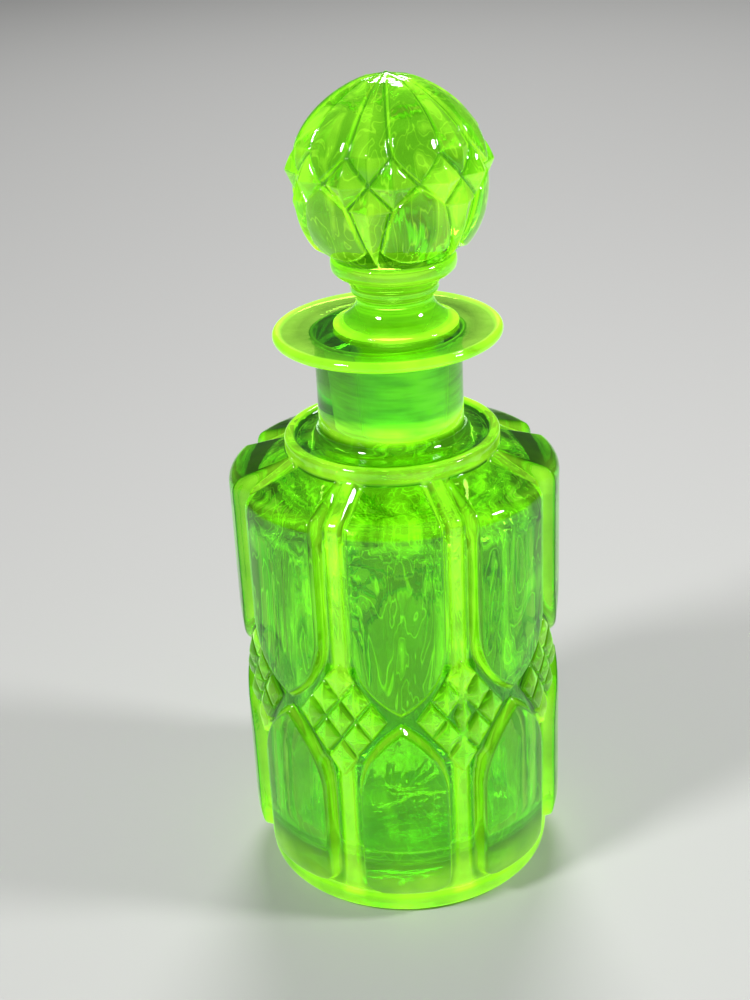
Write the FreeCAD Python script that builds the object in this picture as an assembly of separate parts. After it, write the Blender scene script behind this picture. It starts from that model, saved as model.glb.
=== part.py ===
import FreeCAD, Part
import math
import os

os.makedirs("parts", exist_ok=True)

V = FreeCAD.Vector

# Pressed glass toilet bottle with a ground-in ball stopper. Millimetres, +Z up.
# The origin is the centre of the base circle, on the table; -Y is the front panel.

# ---------------------------------------------------------------- bottle body
SIDES = 8                  # panels and ribs around the body
BASE_R = 30.0              # plain rim under the panels
BASE_RIM_H = 3.9
BASE_ROUND = 1.3
BASE_SWELL = 0.2           # the rim bellies out this much
PUNT_R = 23.0              # shallow recess under the base
PUNT_H = 0.8
PUNT_BEVEL = 0.8
GROOVE_R = 28.8            # ground level between ribs and panels
PANEL_R = 33.0             # panel face at its centre line
PANEL_PINCH_R = 31.5       # panel face where upper and lower tips meet
PINCH_Z = 48.2
UPPER_TIP_Z = 47.6         # foot of the upper panels' lower tip
LOWER_TIP_Z = 46.5         # foot of the lower panels' upper tip
TIP_BEVEL = 2.2            # a tip's face stands back this far from its foot
PANEL_LOW_Z = 4.6
PANEL_FOOT_HALF = 9.7      # upper panel outline at its foot and at its face
PANEL_FACE_HALF = 8.57
ARCH_FOOT_HALF = 9.4       # lower panel outline at its foot and at its face
ARCH_FACE_HALF = 8.35
LANCET_SPRING_Z = 64.3     # the pointed arches start to curve here
ARCH_SPRING_Z = 30.0
PANEL_INNER_Y = -28.0      # planes the panel outlines are drawn on
PANEL_OUTER_Y = -33.6
PANEL_CROWN_IN = 3.2       # the face rolls over onto the shoulder within this
PANEL_CROWN_RISE = 3.45
ARCH_CORNER = 4.6          # rounded foot corners of the lower panel
PANEL_CLEAR = 2.6          # a panel's shoulder ends this far from the middle of the rib
SHOULDER_LEAN = 0.30
BODY_HEART_R = 18.0        # added shapes start this deep, inside the wall
CUT_ABOVE_Z = 110.0
BAND_R = 30.5              # raised belt that carries the diamonds
BAND_Z = [34.0, 38.0, 55.0, 60.5]
RIB_R = 30.1               # rib crest
RIB_CREST_W = 2.2
RIB_FOOT_W = 4.4
RIB_FLARE_W = 6.4          # lower ribs spread where they reach the base rim
RIB_FLARE_Z = 12.0         # the spread starts here
RIB_ROOT = 1.2             # ribs are sunk this far into the wall
RIB_ENV_LOW_Z = 50.0
RIB_CORNER = 1.9           # worn corner where the crest turns onto the shoulder
SHOULDER_Z = 88.0          # rib crest turns onto the shoulder here
RING_R = 21.3              # raised ring at the top of the shoulder
RING_UNDER_Z = 92.9
RING_TOP_Z = 95.9
RING_BAND_W = 2.2
PLATEAU_Z = 95.4
RING_ROUND = 0.7

# ---------------------------------------------------------------- diamonds
DIAMOND_Z = 46.8           # middle row of each 3 x 3 cluster
ROW_PITCH = 4.35
COLUMN_DEG = 5.85
DIAMOND_A = 2.95           # half diagonals
DIAMOND_B = 4.10
DIAMOND_BLOCK_R = 31.25    # cells stand straight to here, then come to a point
DIAMOND_TIP_R = 32.35
HEAD_BLOCK_R = 31.2        # pointed ends of the ribs, the top and bottom cells
HEAD_TIP_R = 31.95
HEAD_LOW_Z = 37.7
HEAD_GROW = 0.1
CELL_WORN = 0.16           # share of the cell left as a flat top
HEAD_WORN = 0.30

# ---------------------------------------------------------------- neck and lip
NECK_R = 14.3
NECK_FILLET = 1.8
NECK_FOOT_RISE = 0.3       # the plateau climbs this much towards the neck
LIP_FILLET = 1.0           # between the neck and the underside of the lip
LIP_R = 22.2
LIP_UNDER_Z = 115.3
LIP_TOP_Z = 117.3
BORE_OFF = 1.7             # the ground bore and its stopper stand this far off centre in +X
BORE_TOP_R = 9.6
BORE_LOW_R = 8.6
BORE_LOW_Z = 97.0
THROAT_R = 8.3

# ---------------------------------------------------------------- inside
INNER_R = 25.2
INNER_FLOOR_Z = 7.2
INNER_FLOOR_ROUND = 9.0
INNER_WALL_TOP_Z = 79.0
INNER_SHOULDER_R = 19.5
INNER_SHOULDER_Z = 87.0

# ---------------------------------------------------------------- stopper
PETALS = 6
TOP_Z = 165.0
EQUATOR_Z = 148.2
KNOB_R = 18.3              # petal faces at the equator
KNOB_GROOVE = 1.35         # petal and ridge relief
KNOB_TIP_R = 19.4          # points of the equator pyramids
KNOB_LOW_Z = 131.2
DOME_POWER = 1.92          # the top half: pointed like an onion rather than round
DOME_ROOT = 0.66
BOWL_POWER = 3.2           # the lower half
COLLAR_R = 12.0
COLLAR_LOW_Z = 128.2
STEP_RING_R = 8.4
STEP_RING_Z = 124.6
WAIST_R = 7.4
WAIST_Z = 122.3
FOOT_R = 12.1
FOOT_GAP = 0.12            # daylight between the foot and the lip
PLUG_GAP = 0.06            # daylight between plug and bore, on the radius
PLUG_LOW_Z = 97.6
PETAL_TURN = 17.8          # one petal faces this many degrees right of the front
PETAL_INNER_Y = -7.0       # planes the petal outlines are drawn on, before they are tilted
PETAL_OUTER_Y = -24.0
PETAL_BEVEL = 1.0          # an outline shrinks this much, end to end, on its way out
UPPER_PETAL_HALF = 5.7
UPPER_PETAL_LOW = -10.9    # ends of the upper petal along its own length
UPPER_PETAL_HIGH = 12.6
UPPER_PETAL_RISE = 38.0    # degrees above level that the petals look
LOWER_PETAL_HALF = 5.6
LOWER_PETAL_TOP = 3.6
LOWER_PETAL_WIDEST = -3.2
LOWER_PETAL_LOW = -12.4
LOWER_PETAL_LOW_HALF = 3.9
LOWER_PETAL_RISE = -13.0
WEDGE_TIP = 0.15           # wedge crest under the knob's outline
WEDGE_SINK = 0.25
WEDGE_UP_Z = [151.0, 153.4, 156.5, 160.0, 162.6, 164.2]
WEDGE_UP_HALF = [1.6, 3.9, 3.1, 2.06, 1.2, 0.52]
WEDGE_LOW_Z = [146.4, 144.0, 140.5, 137.0, 134.2]
WEDGE_LOW_HALF = [1.6, 3.8, 2.67, 1.44, 0.46]
CELL_SIDE_DEG = 14.4       # pyramids stand this far each side of a wedge
CELL_A = 4.1
CELL_B = 4.6
CELL_TOP = 0.06
TIP_CONE_R = 1.5
TIP_CONE_H = 1.3


def ring_face(points):
    # closed face in the XZ plane; a three-value item is the mid point of an arc
    edges = []
    prev = V(points[0][0], 0, points[0][1])
    first = prev
    i = 1
    while i < len(points):
        item = points[i]
        if len(item) == 3:
            mid = V(item[0], 0, item[1])
            nxt = V(points[i + 1][0], 0, points[i + 1][1])
            edges.append(Part.Arc(prev, mid, nxt).toShape())
            i += 2
        else:
            nxt = V(item[0], 0, item[1])
            edges.append(Part.makeLine(prev, nxt))
            i += 1
        prev = nxt
    if (prev - first).Length > 1e-6:
        edges.append(Part.makeLine(prev, first))
    return Part.Face(Part.Wire(edges))


def turned(points):
    return ring_face(points).revolve(V(0, 0, 0), V(0, 0, 1), 360)


def spun(shape, deg):
    s = shape.copy()
    s.rotate(V(0, 0, 0), V(0, 0, 1), deg)
    return s


def wire(points):
    return Part.makePolygon([V(*p) for p in points] + [V(*points[0])])


def prism_between(low, high):
    # straight-sided solid between two matching loops
    return Part.makeLoft([low, high], True, True)


# ================================================================= bottle core
def core():
    rim_top = BASE_RIM_H
    k = BASE_ROUND
    ring_k = RING_ROUND
    lip_k = (LIP_TOP_Z - LIP_UNDER_Z) / 2
    lip_mid = (LIP_TOP_Z + LIP_UNDER_Z) / 2
    fil = NECK_FILLET
    lip_fil = LIP_FILLET
    neck_z = PLATEAU_Z + NECK_FOOT_RISE
    q = math.sqrt(0.5)
    pts = [
        (0, PUNT_H),
        (PUNT_R - PUNT_BEVEL, PUNT_H),
        (PUNT_R, 0),
        (BASE_R - k, 0),
        (BASE_R - k + k * q, k - k * q, "mid"),
        (BASE_R, k),
        (BASE_R + BASE_SWELL, rim_top - 0.8),
        (BASE_R - 0.1, rim_top - 0.1, "mid"),
        (BASE_R - 0.7, rim_top + 0.2),
        (GROOVE_R, rim_top + 1.2),
        (GROOVE_R, BAND_Z[0]),
        (BAND_R, BAND_Z[1]),
        (BAND_R, BAND_Z[2]),
        (GROOVE_R, BAND_Z[3]),
        (GROOVE_R, SHOULDER_Z - 1.6),
        (GROOVE_R - 0.5, SHOULDER_Z - 0.5, "mid"),
        (GROOVE_R - 1.4, SHOULDER_Z + 0.1),
        (RING_R - 0.2, RING_UNDER_Z - 1.2),
        (RING_R - 0.2, RING_UNDER_Z - 0.2),
        (RING_R, RING_UNDER_Z),
        (RING_R, RING_TOP_Z - ring_k),
        (RING_R - ring_k + ring_k * q, RING_TOP_Z - ring_k + ring_k * q, "mid"),
        (RING_R - ring_k, RING_TOP_Z),
        (RING_R - RING_BAND_W + 0.4, RING_TOP_Z),
        (RING_R - RING_BAND_W, PLATEAU_Z),
        (NECK_R + fil, neck_z),
        (NECK_R + fil - fil * q, neck_z + fil - fil * q, "mid"),
        (NECK_R, neck_z + fil),
        (NECK_R, LIP_UNDER_Z - lip_fil),
        (NECK_R + lip_fil - lip_fil * q, LIP_UNDER_Z - lip_fil + lip_fil * q, "mid"),
        (NECK_R + lip_fil, LIP_UNDER_Z),
        (LIP_R - lip_k, LIP_UNDER_Z),
        (LIP_R, lip_mid, "mid"),
        (LIP_R - lip_k, LIP_TOP_Z),
        (0, LIP_TOP_Z),
    ]
    return turned(pts)


# ================================================================= panels
def panel_envelope():
    face_top = SHOULDER_Z - 1.3
    crown_r = PANEL_R - PANEL_CROWN_IN
    crown_z = face_top + PANEL_CROWN_RISE
    pts = [
        (BODY_HEART_R, PANEL_LOW_Z),
        (PANEL_R - 1.9, PANEL_LOW_Z),
        (PANEL_R - 0.55, 7.2, "mid"),
        (PANEL_R, 11.5),
        (PANEL_R, 36.0),
        (PANEL_R - 0.42, PINCH_Z - 5.8, "mid"),
        (PANEL_PINCH_R, PINCH_Z),
        (PANEL_R - 0.36, PINCH_Z + 6.6, "mid"),
        (PANEL_R, PINCH_Z + 13.2),
        (PANEL_R, face_top),
        (PANEL_R - 0.95, face_top + 2.35, "mid"),
        (crown_r, crown_z),
        (BODY_HEART_R, crown_z + (crown_r - BODY_HEART_R) * SHOULDER_LEAN),
    ]
    return turned(pts)


def lancet(half, tip, spring, top, y):
    # upper panel outline: pointed arch hanging from straight sides
    r = (half * half + (spring - tip) ** 2) / (2 * half)
    cx = half - r
    a = math.atan2(tip - spring, -cx) / 2
    mx = cx + r * math.cos(a)
    mz = spring + r * math.sin(a)
    edges = [
        Part.Arc(V(0, y, tip), V(mx, y, mz), V(half, y, spring)).toShape(),
        Part.makeLine(V(half, y, spring), V(half, y, top)),
        Part.makeLine(V(half, y, top), V(-half, y, top)),
        Part.makeLine(V(-half, y, top), V(-half, y, spring)),
        Part.Arc(V(-half, y, spring), V(-mx, y, mz), V(0, y, tip)).toShape(),
    ]
    return Part.Wire(edges)


def arch(half, tip, spring, bottom, corner, y):
    # lower panel outline: pointed arch on straight sides, rounded foot corners
    r = (half * half + (tip - spring) ** 2) / (2 * half)
    cx = half - r
    a = math.atan2(tip - spring, -cx) / 2
    mx = cx + r * math.cos(a)
    mz = spring + r * math.sin(a)
    c = corner
    q = c - c * math.sqrt(0.5)
    edges = [
        Part.Arc(V(0, y, tip), V(mx, y, mz), V(half, y, spring)).toShape(),
        Part.makeLine(V(half, y, spring), V(half, y, bottom + c)),
        Part.Arc(V(half, y, bottom + c), V(half - q, y, bottom + q), V(half - c, y, bottom)).toShape(),
        Part.makeLine(V(half - c, y, bottom), V(c - half, y, bottom)),
        Part.Arc(V(c - half, y, bottom), V(q - half, y, bottom + q), V(-half, y, bottom + c)).toShape(),
        Part.makeLine(V(-half, y, bottom + c), V(-half, y, spring)),
        Part.Arc(V(-half, y, spring), V(-mx, y, mz), V(0, y, tip)).toShape(),
    ]
    return Part.Wire(edges)


def plan_wedge():
    # keeps the panel's shoulder clear of the radial ribs, which it runs beside
    a = math.radians(180 / SIDES)
    inner = RING_R - 0.8
    outer = PANEL_R + 7.0
    pts = []
    for r, side in ((inner, 1), (outer, 1), (outer, -1), (inner, -1)):
        x = r * math.sin(a) - PANEL_CLEAR * math.cos(a)
        y = -(r * math.cos(a) + PANEL_CLEAR * math.sin(a))
        pts.append((side * x, y, 0.0))
    return Part.Face(wire(pts)).extrude(V(0, 0, CUT_ABOVE_Z))


def upper_panel(env):
    wide = lancet(PANEL_FOOT_HALF, UPPER_TIP_Z, LANCET_SPRING_Z, CUT_ABOVE_Z, PANEL_INNER_Y)
    slim = lancet(PANEL_FACE_HALF, UPPER_TIP_Z + TIP_BEVEL, LANCET_SPRING_Z, CUT_ABOVE_Z, PANEL_OUTER_Y)
    limits = plan_wedge()
    face = prism_between(wide, slim).common(env).common(limits)
    corner = V(-PANEL_FOOT_HALF, PANEL_INNER_Y - 3.0, SHOULDER_Z - 2.0)
    crown = Part.makeBox(2 * PANEL_FOOT_HALF, 12.0, 30.0, corner)
    top = crown.common(env).common(limits)
    return face.fuse(top).removeSplitter()


def lower_panel(env):
    low_z = PANEL_LOW_Z - 0.4
    wide = arch(ARCH_FOOT_HALF, LOWER_TIP_Z, ARCH_SPRING_Z, low_z, ARCH_CORNER, PANEL_INNER_Y)
    face_low = low_z + 2.4
    slim_tip = LOWER_TIP_Z - TIP_BEVEL
    slim = arch(ARCH_FACE_HALF, slim_tip, ARCH_SPRING_Z, face_low, ARCH_CORNER - 1.0, PANEL_OUTER_Y)
    return prism_between(wide, slim).common(env)


# ================================================================= ribs
def rib_section(width_foot, width_crest, z, crest_r):
    f = width_foot / 2
    c = width_crest / 2
    root = RIB_ROOT - GROOVE_R
    return wire([
        (-f, root, z),
        (-f, -GROOVE_R, z),
        (-c, -crest_r, z),
        (c, -crest_r, z),
        (f, -GROOVE_R, z),
        (f, root, z),
    ])


def shoulder_section(y, crest_z):
    f = RIB_FOOT_W / 2
    c = RIB_CREST_W / 2
    foot_z = crest_z - RIB_R + GROOVE_R
    return wire([
        (-f, y, foot_z - RIB_ROOT),
        (-f, y, foot_z),
        (-c, y, crest_z),
        (c, y, crest_z),
        (f, y, foot_z),
        (f, y, foot_z - RIB_ROOT),
    ])


def upper_rib():
    slope = (RING_UNDER_Z - SHOULDER_Z + 0.2) / (RIB_R - RING_R)
    corner = RIB_CORNER
    env = turned([
        (BODY_HEART_R, RIB_ENV_LOW_Z),
        (RIB_R, RIB_ENV_LOW_Z),
        (RIB_R, SHOULDER_Z - 0.85 * corner),
        (RIB_R - 0.3 * corner, SHOULDER_Z - 0.15 * corner),
        (RIB_R - corner, SHOULDER_Z + corner * slope),
        (BODY_HEART_R, SHOULDER_Z + (RIB_R - BODY_HEART_R) * slope),
    ])
    head_z = DIAMOND_Z + 2 * ROW_PITCH
    wall = prism_between(
        rib_section(RIB_FOOT_W, RIB_CREST_W, head_z, RIB_R),
        rib_section(RIB_FOOT_W, RIB_CREST_W, SHOULDER_Z + 2.0, RIB_R),
    ).common(env)
    inner_y = RING_R - 0.7
    slant = prism_between(
        shoulder_section(-inner_y, SHOULDER_Z + (RIB_R - inner_y) * slope),
        shoulder_section(-RIB_R - 1.0, SHOULDER_Z - slope),
    ).common(env)
    return wall.fuse(slant)


def lower_rib():
    wall = prism_between(
        rib_section(RIB_FOOT_W, RIB_CREST_W, RIB_FLARE_Z, RIB_R),
        rib_section(RIB_FOOT_W, RIB_CREST_W, HEAD_LOW_Z, RIB_R),
    )
    flare = prism_between(
        rib_section(RIB_FLARE_W, RIB_CREST_W + 1.4, BASE_RIM_H - 0.5, RIB_R),
        rib_section(RIB_FOOT_W, RIB_CREST_W, RIB_FLARE_Z, RIB_R),
    )
    return wall.fuse(flare)


# ================================================================= diamonds
def pyramid(z, a, b, block_r, tip_r, flat):
    # four-sided block standing on the wall, with a low point slightly worn flat
    def loop(r, k):
        return wire([(a * k, -r, z), (0, -r, z + b * k), (-a * k, -r, z), (0, -r, z - b * k)])

    block = prism_between(loop(GROOVE_R - 1.0, 1.0), loop(block_r, 1.0))
    point = prism_between(loop(block_r, 1.0), loop(tip_r, flat))
    return block.fuse(point)


def diamond_cluster():
    # three cells across the middle row, with the ribs' pointed heads above and below
    cells = []
    for row in range(-1, 2):
        count = 3 - abs(row)
        z = DIAMOND_Z + row * ROW_PITCH
        for j in range(count):
            turn = (j - (count - 1) / 2) * 2 * COLUMN_DEG
            cell = pyramid(z, DIAMOND_A, DIAMOND_B, DIAMOND_BLOCK_R, DIAMOND_TIP_R, CELL_WORN)
            cells.append(spun(cell, turn))
    head_a = DIAMOND_A + HEAD_GROW
    head_b = DIAMOND_B + HEAD_GROW
    for z in (HEAD_LOW_Z, DIAMOND_Z + 2 * ROW_PITCH):
        cells.append(pyramid(z, head_a, head_b, HEAD_BLOCK_R, HEAD_TIP_R, HEAD_WORN))
    return cells


# ================================================================= bottle inside
def cavity():
    q = math.sqrt(0.5)
    f = INNER_FLOOR_ROUND
    body = turned([
        (0, INNER_FLOOR_Z),
        (INNER_R - f, INNER_FLOOR_Z + 0.3),
        (INNER_R - f + f * q, INNER_FLOOR_Z + 0.3 + f - f * q, "mid"),
        (INNER_R, INNER_FLOOR_Z + 0.3 + f),
        (INNER_R, INNER_WALL_TOP_Z),
        (INNER_R - 1.5, INNER_WALL_TOP_Z + 4.9, "mid"),
        (INNER_SHOULDER_R, INNER_SHOULDER_Z),
        (THROAT_R + 1.6, INNER_SHOULDER_Z + 3.6),
        (0, INNER_SHOULDER_Z + 3.6),
    ])
    throat = turned([
        (0, INNER_SHOULDER_Z - 2.0),
        (THROAT_R + 3.0, INNER_SHOULDER_Z - 2.0),
        (THROAT_R + 3.0, INNER_SHOULDER_Z + 1.6),
        (THROAT_R + 0.9, INNER_SHOULDER_Z + 3.9, "mid"),
        (THROAT_R, INNER_SHOULDER_Z + 6.8),
        (THROAT_R, BORE_LOW_Z - 0.4),
        (BORE_LOW_R, BORE_LOW_Z),
        (BORE_TOP_R, LIP_TOP_Z - 0.5),
        (BORE_TOP_R + 0.5, LIP_TOP_Z),
        (BORE_TOP_R + 0.5, LIP_TOP_Z + 3.0),
        (0, LIP_TOP_Z + 3.0),
    ])
    throat.translate(V(BORE_OFF, 0, 0))
    return body.fuse(throat)


def bottle():
    env = panel_envelope()
    step = 360 / SIDES
    up = upper_panel(env)
    low = lower_panel(env)
    rib_up = upper_rib()
    rib_low = lower_rib()
    cells = diamond_cluster()
    glass = core()
    extras = []
    for k in range(SIDES):
        extras.append(spun(up, k * step))
        extras.append(spun(low, k * step))
        extras.append(spun(rib_up, (k + 0.5) * step))
        extras.append(spun(rib_low, (k + 0.5) * step))
        for cell in cells:
            extras.append(spun(cell, (k + 0.5) * step))
    glass = glass.multiFuse(extras)
    return glass.cut(cavity())


# ================================================================= stopper
def knob_radius(z, drop):
    # pointed dome over a fuller lower half, offset inward by drop
    if z >= EQUATOR_Z:
        h = TOP_Z - EQUATOR_Z
        t = min(1.0, (z - EQUATOR_Z) / h)
        r = KNOB_R * (1 - t ** DOME_POWER) ** DOME_ROOT
    else:
        h = EQUATOR_Z - KNOB_LOW_Z
        t = (EQUATOR_Z - z) / h
        r = KNOB_R - (KNOB_R - COLLAR_R - 0.2) * t ** BOWL_POWER
    return max(0.3, r - drop)


def knob_profile(drop, bottom_z):
    # smooth curve from the tip to the collar through the knob's own formula
    pts = []
    for i in range(9):
        z = bottom_z + (TOP_Z - 0.6 - bottom_z) * i / 8
        pts.append(V(knob_radius(z, drop), 0, z))
    curve = Part.BSplineCurve()
    curve.interpolate(pts)
    return curve.toShape(), pts[0], pts[-1]


def knob_solid(drop, bottom_z, top_z):
    curve, low, high = knob_profile(drop, bottom_z)
    edges = [
        curve,
        Part.makeLine(high, V(0, 0, top_z)),
        Part.makeLine(V(0, 0, top_z), V(0, 0, bottom_z)),
        Part.makeLine(V(0, 0, bottom_z), low),
    ]
    return Part.Face(Part.Wire(edges)).revolve(V(0, 0, 0), V(0, 0, 1), 360)


def stem():
    foot_z = LIP_TOP_Z + FOOT_GAP
    rise = LIP_TOP_Z - BORE_LOW_Z - 0.5
    taper = (BORE_TOP_R - BORE_LOW_R) / rise
    plug_top_r = BORE_TOP_R - PLUG_GAP
    plug_low_r = BORE_LOW_R - PLUG_GAP + taper * (PLUG_LOW_Z + 0.8 - BORE_LOW_Z)
    return turned([
        (0, PLUG_LOW_Z),
        (plug_low_r - 0.8, PLUG_LOW_Z),
        (plug_low_r, PLUG_LOW_Z + 0.8),
        (plug_top_r, LIP_TOP_Z - 0.6),
        (plug_top_r - 0.3, LIP_TOP_Z - 0.2),
        (plug_top_r - 0.3, foot_z),
        (FOOT_R - 0.5, foot_z),
        (FOOT_R, foot_z + 0.4, "mid"),
        (FOOT_R - 0.4, foot_z + 0.9),
        (WAIST_R + 1.25, WAIST_Z - 2.1, "mid"),
        (WAIST_R, WAIST_Z + 0.6),
        (WAIST_R + 0.1, STEP_RING_Z - 0.6),
        (STEP_RING_R, STEP_RING_Z - 0.2),
        (STEP_RING_R + 0.1, STEP_RING_Z + 0.3, "mid"),
        (STEP_RING_R, STEP_RING_Z + 0.8),
        (STEP_RING_R + 0.9, STEP_RING_Z + 2.2, "mid"),
        (COLLAR_R - 1.0, COLLAR_LOW_Z - 0.2),
        (COLLAR_R - 0.2, COLLAR_LOW_Z + 0.6, "mid"),
        (COLLAR_R, COLLAR_LOW_Z + 1.6),
        (COLLAR_R + 0.1, COLLAR_LOW_Z + 2.6, "mid"),
        (COLLAR_R - 0.3, KNOB_LOW_Z + 0.6),
        (COLLAR_R - 2.5, KNOB_LOW_Z + 3.0),
        (0, KNOB_LOW_Z + 3.0),
    ])


def tilted(shape, elevation, centre_z):
    # local -Y of the outline becomes a direction raised by elevation from the knob centre
    s = shape.copy()
    s.rotate(V(0, 0, 0), V(1, 0, 0), -elevation)
    s.translate(V(0, 0, centre_z))
    return s


def almond(half, low, high, y):
    mid = (low + high) / 2
    edges = [
        Part.Arc(V(0, y, low), V(half, y, mid), V(0, y, high)).toShape(),
        Part.Arc(V(0, y, high), V(-half, y, mid), V(0, y, low)).toShape(),
    ]
    return Part.Wire(edges)


def spade(half, top, mid, low, low_half, y):
    # lower petal: pointed top, full flanks, round scalloped foot
    edges = [
        Part.Arc(V(0, y, top), V(half * 0.80, y, (top + mid) / 2 + 0.5), V(half, y, mid)).toShape(),
        Part.makeLine(V(half, y, mid), V(low_half, y, low + 1.4)),
        Part.Arc(V(low_half, y, low + 1.4), V(0, y, low), V(-low_half, y, low + 1.4)).toShape(),
        Part.makeLine(V(-low_half, y, low + 1.4), V(-half, y, mid)),
        Part.Arc(V(-half, y, mid), V(-half * 0.80, y, (top + mid) / 2 + 0.5), V(0, y, top)).toShape(),
    ]
    return Part.Wire(edges)


def upper_petal(env):
    low = UPPER_PETAL_LOW
    high = UPPER_PETAL_HIGH
    cut = PETAL_BEVEL
    inner = almond(UPPER_PETAL_HALF, low, high, PETAL_INNER_Y)
    outer = almond(UPPER_PETAL_HALF - cut, low + cut, high - cut, PETAL_OUTER_Y)
    return tilted(prism_between(inner, outer), UPPER_PETAL_RISE, EQUATOR_Z).common(env)


def lower_petal(env):
    half = LOWER_PETAL_HALF
    top = LOWER_PETAL_TOP
    low = LOWER_PETAL_LOW
    low_half = LOWER_PETAL_LOW_HALF
    cut = PETAL_BEVEL
    inner = spade(half, top, LOWER_PETAL_WIDEST, low, low_half, PETAL_INNER_Y)
    outer = spade(half - cut, top - cut, LOWER_PETAL_WIDEST, low + cut, low_half - cut, PETAL_OUTER_Y)
    return tilted(prism_between(inner, outer), LOWER_PETAL_RISE, EQUATOR_Z - 1.2).common(env)


def ridge(z_list, half_list):
    # creased wedge running along a meridian between two petals
    loops = []
    for z, half in zip(z_list, half_list):
        base = -knob_radius(z, KNOB_GROOVE + WEDGE_SINK)
        crest = -knob_radius(z, WEDGE_TIP)
        root = base + 1.5
        section = [
            (-half, root, z),
            (-half, base, z),
            (0, crest, z),
            (half, base, z),
            (half, root, z),
        ]
        loops.append(wire(section))
    return Part.makeLoft(loops, True, True)


def knob_pyramid(z, side_deg, a, b, tip_r):
    base_r = KNOB_R - KNOB_GROOVE - 0.3

    def loop(r, k):
        return wire([(a * k, -r, z), (0, -r, z + b * k), (-a * k, -r, z), (0, -r, z - b * k)])

    body = prism_between(loop(base_r - 2.5, 1.0), loop(base_r, 1.0))
    point = prism_between(loop(base_r, 1.0), loop(tip_r, CELL_TOP))
    return spun(body.fuse(point), side_deg)


def stopper():
    env = knob_solid(0.0, KNOB_LOW_Z - 0.6, TOP_Z)
    ground = knob_solid(KNOB_GROOVE, KNOB_LOW_Z - 0.6, TOP_Z - 0.9)
    up = upper_petal(env)
    low = lower_petal(env)
    wedge_up = ridge(WEDGE_UP_Z, WEDGE_UP_HALF)
    wedge_low = ridge(WEDGE_LOW_Z, WEDGE_LOW_HALF)
    step = 360 / PETALS
    glass = stem()
    extras = [ground]
    for k in range(PETALS):
        here = PETAL_TURN + k * step
        gap = here + step / 2
        extras.append(spun(up, here))
        extras.append(spun(low, here))
        extras.append(spun(wedge_up, gap))
        extras.append(spun(wedge_low, gap))
        for side in (-1, 1):
            turn = gap + side * CELL_SIDE_DEG
            extras.append(knob_pyramid(EQUATOR_Z + 0.3, turn, CELL_A, CELL_B, KNOB_TIP_R))
    tip = Part.makeCone(TIP_CONE_R, 0.1 * TIP_CONE_R, TIP_CONE_H, V(0, 0, TOP_Z - TIP_CONE_H))
    extras.append(tip)
    glass = glass.multiFuse(extras)
    glass.translate(V(BORE_OFF, 0, 0))
    return glass


def save(shape, node):
    solids = shape.Solids
    if len(solids) != 1:
        print(node, "has", len(solids), "solids")
    solid = solids[0]
    solid.exportStep("parts/" + node + ".step")
    box = solid.BoundBox
    print(node, "valid", solid.isValid(), "faces", len(solid.Faces), "volume", round(solid.Volume))
    print("  x", round(box.XMin, 2), round(box.XMax, 2), "y", round(box.YMin, 2), round(box.YMax, 2))
    print("  z", round(box.ZMin, 2), round(box.ZMax, 2))


save(bottle(), "bottle")
save(stopper(), "stopper")
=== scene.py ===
import math

import bpy
import numpy as np
from mathutils import Matrix, Vector


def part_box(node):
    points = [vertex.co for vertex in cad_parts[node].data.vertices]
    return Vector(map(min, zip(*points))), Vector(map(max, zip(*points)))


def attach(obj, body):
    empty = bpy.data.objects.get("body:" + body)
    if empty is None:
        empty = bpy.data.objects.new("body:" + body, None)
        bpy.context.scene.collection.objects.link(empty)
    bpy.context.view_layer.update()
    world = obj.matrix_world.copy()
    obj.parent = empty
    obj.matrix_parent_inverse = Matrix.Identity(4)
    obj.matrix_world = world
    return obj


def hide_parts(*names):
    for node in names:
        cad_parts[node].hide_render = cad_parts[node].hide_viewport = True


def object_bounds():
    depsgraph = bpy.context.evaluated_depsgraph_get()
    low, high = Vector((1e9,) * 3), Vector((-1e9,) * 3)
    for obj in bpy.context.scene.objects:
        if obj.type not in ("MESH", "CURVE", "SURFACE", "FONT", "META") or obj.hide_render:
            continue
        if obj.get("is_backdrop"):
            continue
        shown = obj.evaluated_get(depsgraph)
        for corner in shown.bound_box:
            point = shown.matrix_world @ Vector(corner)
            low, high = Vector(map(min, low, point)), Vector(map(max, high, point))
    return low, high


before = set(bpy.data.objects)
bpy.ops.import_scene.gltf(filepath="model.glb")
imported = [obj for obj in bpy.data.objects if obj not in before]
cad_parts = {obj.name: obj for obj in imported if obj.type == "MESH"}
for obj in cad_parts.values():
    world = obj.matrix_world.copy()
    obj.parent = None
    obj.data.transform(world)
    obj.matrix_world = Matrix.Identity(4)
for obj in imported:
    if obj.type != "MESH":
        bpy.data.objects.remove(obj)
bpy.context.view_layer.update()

# ------------------------------------------------------------------ sizes
# All sizes below are in millimetres on a bottle whose lip stands 117.3 mm high.
# MM turns them into metres of the frame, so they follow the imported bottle.
LIP_TOP_Z = 117.3
BOTTLE_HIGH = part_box("bottle")[1]
STOPPER_LOW, STOPPER_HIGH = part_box("stopper")
MM = BOTTLE_HIGH.z / LIP_TOP_Z

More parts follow.
